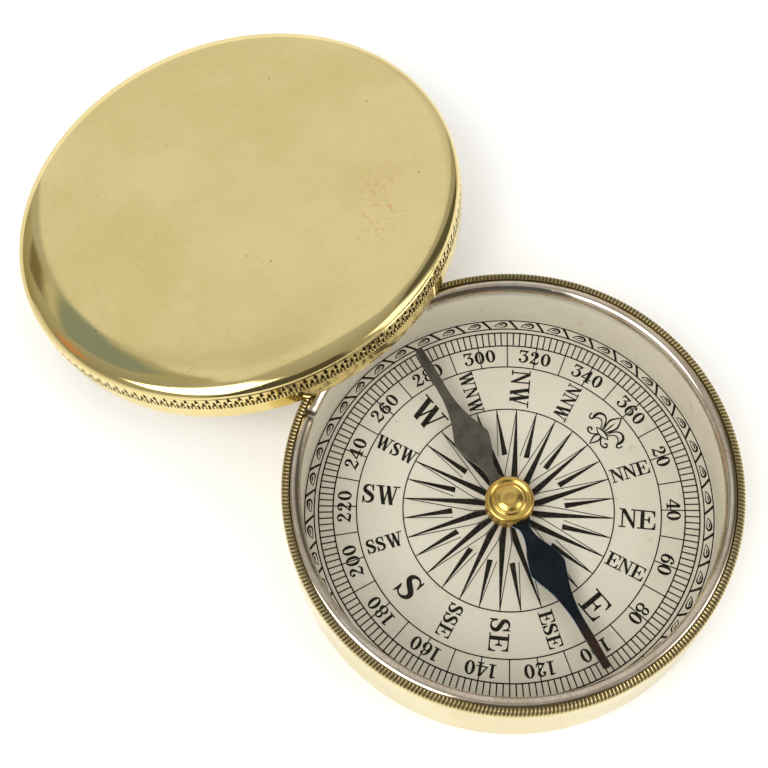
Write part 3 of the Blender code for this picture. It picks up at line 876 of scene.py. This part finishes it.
def make_ring_piece(material):
    """Split retaining ring of round wire, its ends broken and darkened with painted shade."""
    low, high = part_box("retaining_ring")
    wire = (high.z - low.z) / 2
    centre_z = (high.z + low.z) / 2
    radius = high.x - wire
    start, sweep, sections, sides = 239.2 + 0.75, 358.5, 480, 28
    vertices, faces, ring_darkening = [], [], []
    for index in range(sections + 1):
        share = index / sections
        outward, _ = bearing_axes(start + sweep * share)
        from_end = min(share, 1 - share) * sweep * math.radians(1) * radius
        swell = wire * (1.0 if from_end > 0.12 * MM else 0.90)
        for side in range(sides):
            turn = 2 * math.pi * side / sides
            r = radius + swell * math.cos(turn)
            vertices.append((outward[0] * r, outward[1] * r, centre_z + swell * math.sin(turn)))
            # Darker on the side in the case's groove, and painted shade on the last sections of each broken
            # end.
            hidden = float(smoothstep(0.30, -0.05, math.sin(turn))) if math.cos(turn) > 0 else 0.0
            ring_darkening.append(max(hidden, 0.9 if from_end < 0.05 * MM else 0.0))
    for index in range(sections):
        a, b = index * sides, (index + 1) * sides
        faces += [(a + j, a + (j + 1) % sides, b + (j + 1) % sides, b + j) for j in range(sides)]
    faces.append(list(range(sides)))
    faces.append([sections * sides + j for j in range(sides)][::-1])
    made = finish_mesh("ring_wire", vertices, faces, material)
    keep_values(made, "ring_darkening", ring_darkening)
    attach(made, "case")
    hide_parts("retaining_ring")


def make_print_piece(material):
    """Everything printed on the dial, as a very thin layer on the card."""
    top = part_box("dial_card")[1].z
    made = print_solid("dial_print", print_shapes(), top + INK_LIFT * MM, INK_THICK * MM, material)
    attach(made, "case")


def needle_turn():
    """Angle from +X of the needle's eastern arm."""
    points = np.array([vertex.co[:2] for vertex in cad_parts["needle_blade"].data.vertices])
    points -= points.mean(0)
    _, vectors = np.linalg.eigh(points.T @ points)
    along = vectors[:, 1] * (1.0 if vectors[0, 1] > 0 else -1.0)
    return math.atan2(along[1], along[0])


def needle_outline():
    """Outline of the whole needle along X, mirrored twice from one quarter."""
    arm = [(0.90, 0.72), (0.80, 0.76), (0.68, 0.80), (0.59, 1.16), (0.52, 1.70), (0.455, 2.42)]
    arm += [(0.41, 2.88), (0.38, 2.80), (0.31, 2.13), (0.25, 1.30), (0.20, 0.92), (0.155, 0.95), (0.12, 1.65)]
    knots = [(NEEDLE_REACH - 0.22, 0.62)] + [(share * NEEDLE_REACH, width) for share, width in arm]
    eye = 2.85
    knots += [(eye * math.cos(math.radians(a)), eye * math.sin(math.radians(a))) for a in (52, 71, 90)]
    quarter = [(NEEDLE_REACH, 0.43)] + [tuple(p) for p in smooth_path(knots, 4)]
    upper = quarter + [(-x, y) for x, y in reversed(quarter[:-1])]
    return upper + [(x, -y) for x, y in reversed(upper)]


def make_needle_piece(material):
    """Flat needle with bevelled edges and an eye for the cap's spigot."""
    low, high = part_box("needle_blade")
    middle, half = (low.z + high.z) / 2, (high.z - low.z) / 2 / MM
    bevel_wide, bevel_deep = 0.13, 0.09
    outline = needle_outline()
    hole = ellipse(0, 0, NEEDLE_EYE, NEEDLE_EYE, 40)
    count = len(outline)
    ring = np.array(outline)
    tangent = np.roll(ring, -1, 0) - np.roll(ring, 1, 0)
    tangent /= np.linalg.norm(tangent, axis=1)[:, None]
    inward = np.stack([-tangent[:, 1], tangent[:, 0]], 1)
    inset = [tuple(p) for p in ring + inward * bevel_wide]
    rings = [list(range(count)), list(range(count, count + len(hole)))]
    solved = delaunay_2d_cdt([Vector(p) for p in inset + hole], [], rings, 1, 1e-6, True)
    top = [face for face, inside in zip(solved[2], solved[5]) if 0 in inside and 1 not in inside]
    order = {source: new for new, sources in enumerate(solved[3]) for source in sources}
    flat = [tuple(v) for v in solved[0]]
    below = len(flat)
    vertices = [(x, y, half) for x, y in flat] + [(x, y, -half) for x, y in flat]
    vertices += [(x, y, half - bevel_deep) for x, y in outline]
    vertices += [(x, y, -half + bevel_deep) for x, y in outline]
    faces = [list(face) for face in top] + [[v + below for v in face][::-1] for face in top]
    up, down = 2 * below, 2 * below + count
    for j in range(count):
        k = (j + 1) % count
        a, b = order[j], order[k]
        faces.append([a, up + j, up + k, b])
        faces.append([up + j, down + j, down + k, up + k])
        faces.append([down + j, a + below, b + below, down + k])
    for j in range(len(hole)):
        a, b = order[count + j], order[count + (j + 1) % len(hole)]
        faces.append([a, b, b + below, a + below])
    vertices = [(x * MM, y * MM, z * MM) for x, y, z in vertices]
    made = finish_mesh("needle_steel", vertices, faces, material, 25.0)
    keep_values(made, "edge", [0.0] * (2 * below) + [1.0] * (2 * count))
    settle(made, Matrix.Translation((0, 0, middle)) @ Matrix.Rotation(needle_turn(), 4, "Z"))
    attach(made, "needle")
    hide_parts("needle_blade")


def make_cap_piece(material):
    """Turned cap: raised boss, thin bead, rounded outer ring and plain side, then the spigot's bore."""
    low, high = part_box("needle_cap")
    top, foot, radius = high.z / MM, low.z / MM, high.x / MM
    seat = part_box("needle_blade")[1].z / MM + 0.05
    spigot, bore, crown = 1.60, 1.05, 0.45
    boss = [(0.0, -0.05), (0.55, -0.05), (0.75, -0.02), (1.0, 0.0), (1.2, -0.03), (1.4, -0.085)]
    boss += [(1.6, -0.155), (1.8, -0.24), (1.95, -0.315), (2.05, -0.355)]
    bead = [(2.12, -0.36), (2.19, -0.33), (2.27, -0.30), (2.35, -0.305), (2.43, -0.35)]
    valley = [(2.50, -0.42), (2.58, -0.485), (2.66, -0.52), (2.75, -0.525), (2.84, -0.50), (2.93, -0.455)]
    crest = [(3.02, -0.405), (3.11, -0.36), (3.20, -0.33), (3.30, -0.32), (3.41, -0.335), (3.52, -0.375)]
    crest += [(3.62, -0.44), (3.71, -0.53), (3.78, -0.66), (3.825, -0.84)]
    side = [(3.845, -1.05), (3.805, -1.10), (3.845, -1.15), (3.845, -1.36), (3.81, -1.40), (3.845, -1.44)]
    rows = [(min(r, radius), top + z) for r, z in boss + bead + valley + crest + side]
    rows += [(radius, seat + 0.12), (radius - 0.08, seat), (spigot, seat), (spigot, foot), (bore, foot)]
    rows += [(bore, top - crown), (0.0, top - crown)]
    made = lathe("cap_turned", plain_rows(rows, 128), material, sharp_deg=45.0)
    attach(made, "needle")
    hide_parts("needle_cap")


def make_collar_piece(material):
    """Collar under the needle, with a rounded foot."""
    low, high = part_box("cap_collar")
    top, foot, radius, bore = high.z / MM, low.z / MM, high.x / MM, 1.65
    rows = [(bore, top), (radius - 0.08, top), (radius, top - 0.1), (radius, top - 0.35)]
    rows += [(radius, foot + 0.32), (radius - 0.03, foot + 0.19), (radius - 0.10, foot + 0.09)]
    rows += [(radius - 0.20, foot + 0.02), (radius - 0.32, foot), (bore, foot)]
    made = lathe("collar_turned", plain_rows(rows, 128), material, closed=True, sharp_deg=45.0)
    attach(made, "needle")
    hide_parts("cap_collar")


def lid_matrix():
    """Place of the lid's open rim, read from its CAD mesh: Z along its axis, X down its slope."""
    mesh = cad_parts["lid_cover"].data
    areas = np.array([face.area for face in mesh.polygons])
    normals = np.array([face.normal for face in mesh.polygons])
    centres = np.array([face.center for face in mesh.polygons])
    points = np.array([vertex.co for vertex in mesh.vertices])
    values, vectors = np.linalg.eigh((normals * areas[:, None]).T @ normals)
    lone = 0 if values[1] - values[0] > values[2] - values[1] else 2
    axis = vectors[:, lone] * (1.0 if vectors[2, lone] > 0 else -1.0)
    middle = (centres * areas[:, None]).sum(0) / areas.sum()
    origin = middle + axis * ((points - middle) @ axis).min()
    down = np.array((0.0, 0.0, -1.0))
    slope = down - axis * (down @ axis)
    slope /= np.linalg.norm(slope)
    side = np.cross(axis, slope)
    return Matrix(((slope[0], side[0], axis[0], origin[0]), (slope[1], side[1], axis[1], origin[1]),
                   (slope[2], side[2], axis[2], origin[2]), (0, 0, 0, 1)))


# Cuts of one motif of the lid's band.  A drop widens downwards: its place round the motif (0 to 1),
# its foot and top in millimetres, its half width at the top and at the foot, and its depth.  A line
# keeps its width: its place, foot, top and depth.
LID_DROPS = [(0.5, 4.85, 6.0, 0.03, 0.21, 1.0), (0.08, 4.05, 5.3, 0.03, 0.18, 0.9)]
LID_LINES = [(0.52, 3.25, 4.75, 0.72), (0.20, 3.25, 4.1, 0.50), (0.85, 3.25, 4.5, 0.50)]


def lid_relief(height):
    """Relief of one row of the lid's milled band: two staggered rows of drops over fine lines."""
    def ends(low, high, rise, fall):
        return float(smoothstep(low, low + rise, height) * (1 - smoothstep(high - fall, high, height)))

    def relief(angles):
        phase = (angles * LID_MOTIFS / (2 * math.pi)) % 1.0
        cut = np.zeros_like(phase)
        for centre, low, high, narrow, wide, deep in LID_DROPS:
            if low < height < high:
                half = narrow + (wide - narrow) * (high - height) / (high - low)
                away = np.abs((phase - centre + 0.5) % 1.0 - 0.5)
                shape = 1 - smoothstep(half * 0.55, half + 0.05, away)
                cut = np.maximum(cut, deep * ends(low, high, 0.15, 0.15) * shape)
        for centre, low, high, deep in LID_LINES:
            if low < height < high:
                away = np.abs((phase - centre + 0.5) % 1.0 - 0.5)
                cut = np.maximum(cut, deep * ends(low, high, 0.2, 0.3) * (1 - smoothstep(0.04, 0.14, away)))
        # The mask is the cut's depth; it darkens the cuts partly as deposits and partly as painted shade.
        return LID_CUT_MM * MM * cut, 1.0, 0.0, cut
    return relief


def make_lid_piece(material):
    """Lid: slightly domed top, wide soft shoulder, milled band and plain skirt."""
    fine, coarse = LID_MOTIFS * 16, LID_MOTIFS * 2
    height, skirt, bead, bore, roof = 8.8, 36.44, 36.93, 35.2, 7.4
    reach, drop, power = 29.0, 0.34, 2 / 2.15
    start_z = height - drop
    end_r, end_z = bead - 0.12, 6.15
    tilt = 2 * drop / reach
    dome = (0.0, 2.0, 5.0, 9.0, 13.0, 17.0, 20.0, 23.0, 25.5, 27.5)
    points = [(r, height - drop * (r / reach) ** 2) for r in dome]
    for index in range(21):
        turn = math.radians(90 - 88 * index / 20)
        x, y = math.cos(turn) ** power, math.sin(turn) ** power
        r = reach + (end_r - reach) * x
        points.append((r, end_z + (start_z - end_z) * y - tilt * (r - reach) * y))
    rows = plain_rows(points, coarse)
    rows.append(((bead - 0.06) * MM, 6.08 * MM, coarse, None))
    for z in np.arange(6.0, 3.15, -0.17):
        rows.append((bead * MM, z * MM, fine, lid_relief(z)))
    lower = [(bead - 0.05, 3.08), (bead - 0.38, 2.95), (skirt, 2.80), (skirt, 1.5), (skirt, 0.28)]
    lower += [(skirt - 0.06, 0.1), (skirt - 0.2, 0.0), (bore + 0.15, 0.0), (bore, 0.15), (bore, 3.0)]
    lower += [(bore, 6.4)] + arc(bore - 0.9, roof - 0.9, 0.9, 0.9, 5, 90, 7)[1:]
    lower += [(26.0, roof), (14.0, roof), (0.0, roof)]
    rows += plain_rows(lower, coarse)
    made = lathe("lid_shell", rows, material, mask_name="groove", sharp_deg=35.0)
    settle(made, lid_matrix())
    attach(made, "lid")
    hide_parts("lid_cover")


# ---------------------------------------------------------------- studio


def make_camera():
    """Camera at the fitted place, over the printed face."""
    right, down = Vector(CAMERA_RIGHT), Vector(CAMERA_DOWN)
    back = right.cross(-down)
    camera_data = bpy.data.cameras.new("camera")
    camera_data.lens = CAMERA_LENS
    camera_data.sensor_width = CAMERA_SENSOR
    camera_data.clip_start = 0.01
    camera_data.clip_end = 20.0
    camera = bpy.data.objects.new("camera", camera_data)
    x, y, z = (value * MM for value in CAMERA_OFFSET_MM)
    place = Vector((x, y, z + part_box("dial_card")[1].z))
    turn = Matrix((right, -down, back)).transposed().to_4x4()
    camera.matrix_world = Matrix.Translation(place) @ turn
    scene.collection.objects.link(camera)
    scene.camera = camera


def make_floor():
    """Plain pale floor, which glows a little so that it stays white round the object."""
    paint = Painter("floor_white", Emission_Color=(1.0, 1.0, 1.0, 1.0), Emission_Strength=0.16)
    grain = paint.noise(paint.place(), 25.0, 3.0, 0.6)
    colour = paint.mix(grain, (0.86, 0.86, 0.85), (0.90, 0.90, 0.89))
    mesh = bpy.data.meshes.new("floor")
    size = 12.0
    corners = [(x, y, 0.0) for x, y in box2(-size, -size, size, size)]
    mesh.from_pydata(corners, [], [(0, 1, 2, 3)])
    mesh.materials.append(paint.surface(colour, paint.band(grain, 0.0, 1.0, 0.85, 0.95)))
    floor = bpy.data.objects.new("floor", mesh)
    floor.location.z = -0.00002
    scene.collection.objects.link(floor)


def softbox(name, bearing, elevation, size, power):
    """Area light aimed at the object, which shines but isn't itself mirrored in the brass."""
    distance, target = 0.8, Vector((-0.02, 0.0, 0.01))
    data = bpy.data.lights.new(name, "AREA")
    data.shape = "RECTANGLE"
    data.size, data.size_y = size
    data.energy = power
    light = bpy.data.objects.new(name, data)
    outward, _ = bearing_axes(bearing)
    flat = distance * math.cos(math.radians(elevation))
    light.location = (outward[0] * flat, outward[1] * flat, distance * math.sin(math.radians(elevation)))
    light.visible_glossy = False
    scene.collection.objects.link(light)
    light.rotation_mode = "QUATERNION"
    light.rotation_quaternion = (target - light.location).to_track_quat("-Z", "Y")


# The room round the table.  Each patch is a middle bearing, a convex outline of (bearing from the
# middle, elevation) taken anticlockwise, the softness of its edges in degrees, and its brightness.
ROOM_BASE = (0.50, 0.50, 0.49)
ROOM_PATCHES = [
    (205, [(-50, -90), (50, -90), (50, 13), (-50, 13)], 4.0, (0.95, 0.95, 0.95)),
    (218, [(-14, 13), (22, 13), (22, 60), (-14, 60)], 4.0, (0.42, 0.42, 0.38)),
    (299, [(-38, -90), (41, -90), (41, 62), (28, 71), (-33, 71)], 0.8, (0.80, 0.80, 0.80)),
    (299, [(-66, 64), (-31, 44), (-31, 71), (-66, 71)], 1.4, (0.80, 0.80, 0.80)),
    (276, [(-14, 43), (8, 43), (8, 60), (-14, 60)], 3.0, (0.70, 0.70, 0.68)),
    (250, [(-14, -25), (9, -25), (9.5, 17), (-14, 17)], 0.7, (0.42, 0.39, 0.28)),
    (250, [(-14, 17), (9.5, 17), (12, 34), (-14, 34)], 0.7, (0.44, 0.44, 0.38)),
    (250, [(-16, 45), (7, 44), (12, 44), (-3, 61), (-16, 65)], 0.8, (0.44, 0.43, 0.34)),
    (250, [(1, 16), (9.5, 19), (10.5, 28), (1, 26.5)], 0.6, (0.20, 0.17, 0.11)),
    (250, [(-8, 32.5), (12, 32.5), (15.5, 38), (8, 46), (-3, 53), (-12, 48)], 0.6, (0.27, 0.33, 0.37)),
    (250, [(-2, 29), (8, 29), (12.6, 32), (12.6, 33.6), (-2, 31)], 0.5, (0.66, 0.63, 0.56)),
    (228, [(-8, 21), (6, 22), (8, 31), (-6, 33)], 1.6, (0.72, 0.38, 0.22)),
    (133, [(-19, 4), (17, 4), (17, 66), (-19, 66)], 3.0, (0.12, 0.12, 0.13)),
    (181, [(-29, 39), (29, 39), (29, 73), (-29, 73)], 1.5, (5.0, 5.0, 4.9)),
    (54, [(-15, -90), (15, -90), (15, 58), (-15, 58)], 3.0, (2.6, 2.6, 2.6)),
    (102, [(-14, -90), (14, -90), (14, 68), (-14, 68)], 4.0, (0.12, 0.115, 0.09)),
    (11, [(-15, 5), (17, 5), (17, 65), (-15, 65)], 3.5, (0.14, 0.14, 0.12)),
]


def make_world():
    """Grey room with patches of light and dark, as polygons of bearing and elevation."""
    world = bpy.data.worlds.new("studio")
    scene.world = world
    world.use_nodes = True
    room = Nodes(world.node_tree)
    towards = room.node("ShaderNodeTexCoord").outputs["Generated"]
    x, y, z = room.node("ShaderNodeSeparateXYZ", {0: towards}).outputs
    elevation = room.math("DEGREES", room.math("ARCSINE", z))
    bearing = room.math("DEGREES", room.math("ARCTAN2", x, y))
    colour = ROOM_BASE
    for middle, outline, soft, shade in ROOM_PATCHES:
        away = room.math("WRAP", room.math("SUBTRACT", bearing, float(middle)), 180.0, -180.0)
        inside = None
        for (b0, e0), (b1, e1) in zip(outline, outline[1:] + outline[:1]):
            length = math.hypot(b1 - b0, e1 - e0)
            slope_b, slope_e = (e0 - e1) / length, (b1 - b0) / length
            reach = room.math("MULTIPLY_ADD", away, slope_b, -slope_b * b0 - slope_e * e0)
            reach = room.math("MULTIPLY_ADD", elevation, slope_e, reach)
            inside = reach if inside is None else room.math("MINIMUM", inside, reach)
        colour = room.mix(room.band(inside, -soft, soft), colour, shade)
    room.put(world.node_tree.nodes["Background"].inputs["Color"], colour)


def paint_node(name, material):
    """Give a CAD node that stays its material."""
    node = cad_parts[name]
    node.data.materials.clear()
    node.data.materials.append(material)


def main():
    """Build every piece, then the studio."""
    scene.view_settings.view_transform = "Standard"
    case_brass = brass_material("case_brass", (0.67, 0.55, 0.22), (0.77, 0.66, 0.33), 0.12, groove="groove")
    lid_brass = brass_material("lid_brass", (0.81, 0.655, 0.28), (0.885, 0.735, 0.35), 0.06, groove="groove",
                               stains=True, grime_and_shade=(0.055, 0.038, 0.014), grime_and_shade_full=0.50)
    cap_brass = brass_material("cap_brass", (0.62, 0.355, 0.07), (0.85, 0.57, 0.165), 0.17, turned=9000.0)
    plate_brass = brass_material("plate_brass", (0.55, 0.42, 0.17), (0.66, 0.52, 0.24), 0.3, turned=4000.0)
    make_case_piece(case_brass)
    make_liner_piece(paper_material("liner_card", (0.83, 0.755, 0.645), (0.77, 0.695, 0.58), 1.6))
    make_ring_piece(silver_material("ring_silver"))
    make_print_piece(ink_material("dial_ink"))
    make_needle_piece(needle_material("blued_steel"))
    make_cap_piece(cap_brass)
    make_collar_piece(cap_brass)
    make_lid_piece(lid_brass)
    paint_node("dial_card", paper_material("dial_card", (0.715, 0.645, 0.565), (0.655, 0.580, 0.50)))
    paint_node("dial_plate", plate_brass)
    paint_node("pivot_boss", cap_brass)
    paint_node("pivot_pin", steel_material("pin_steel"))
    paint_node("cap_jewel", stone_material("jewel_stone"))
    paint_node("crystal", glass_material("crystal_glass"))
    make_world()
    softbox("overhead", 340.0, 66.0, (0.9, 0.9), 1.5)
    softbox("front", 132.0, 38.0, (0.7, 0.5), 1.5)
    make_floor()
    make_camera()


main()
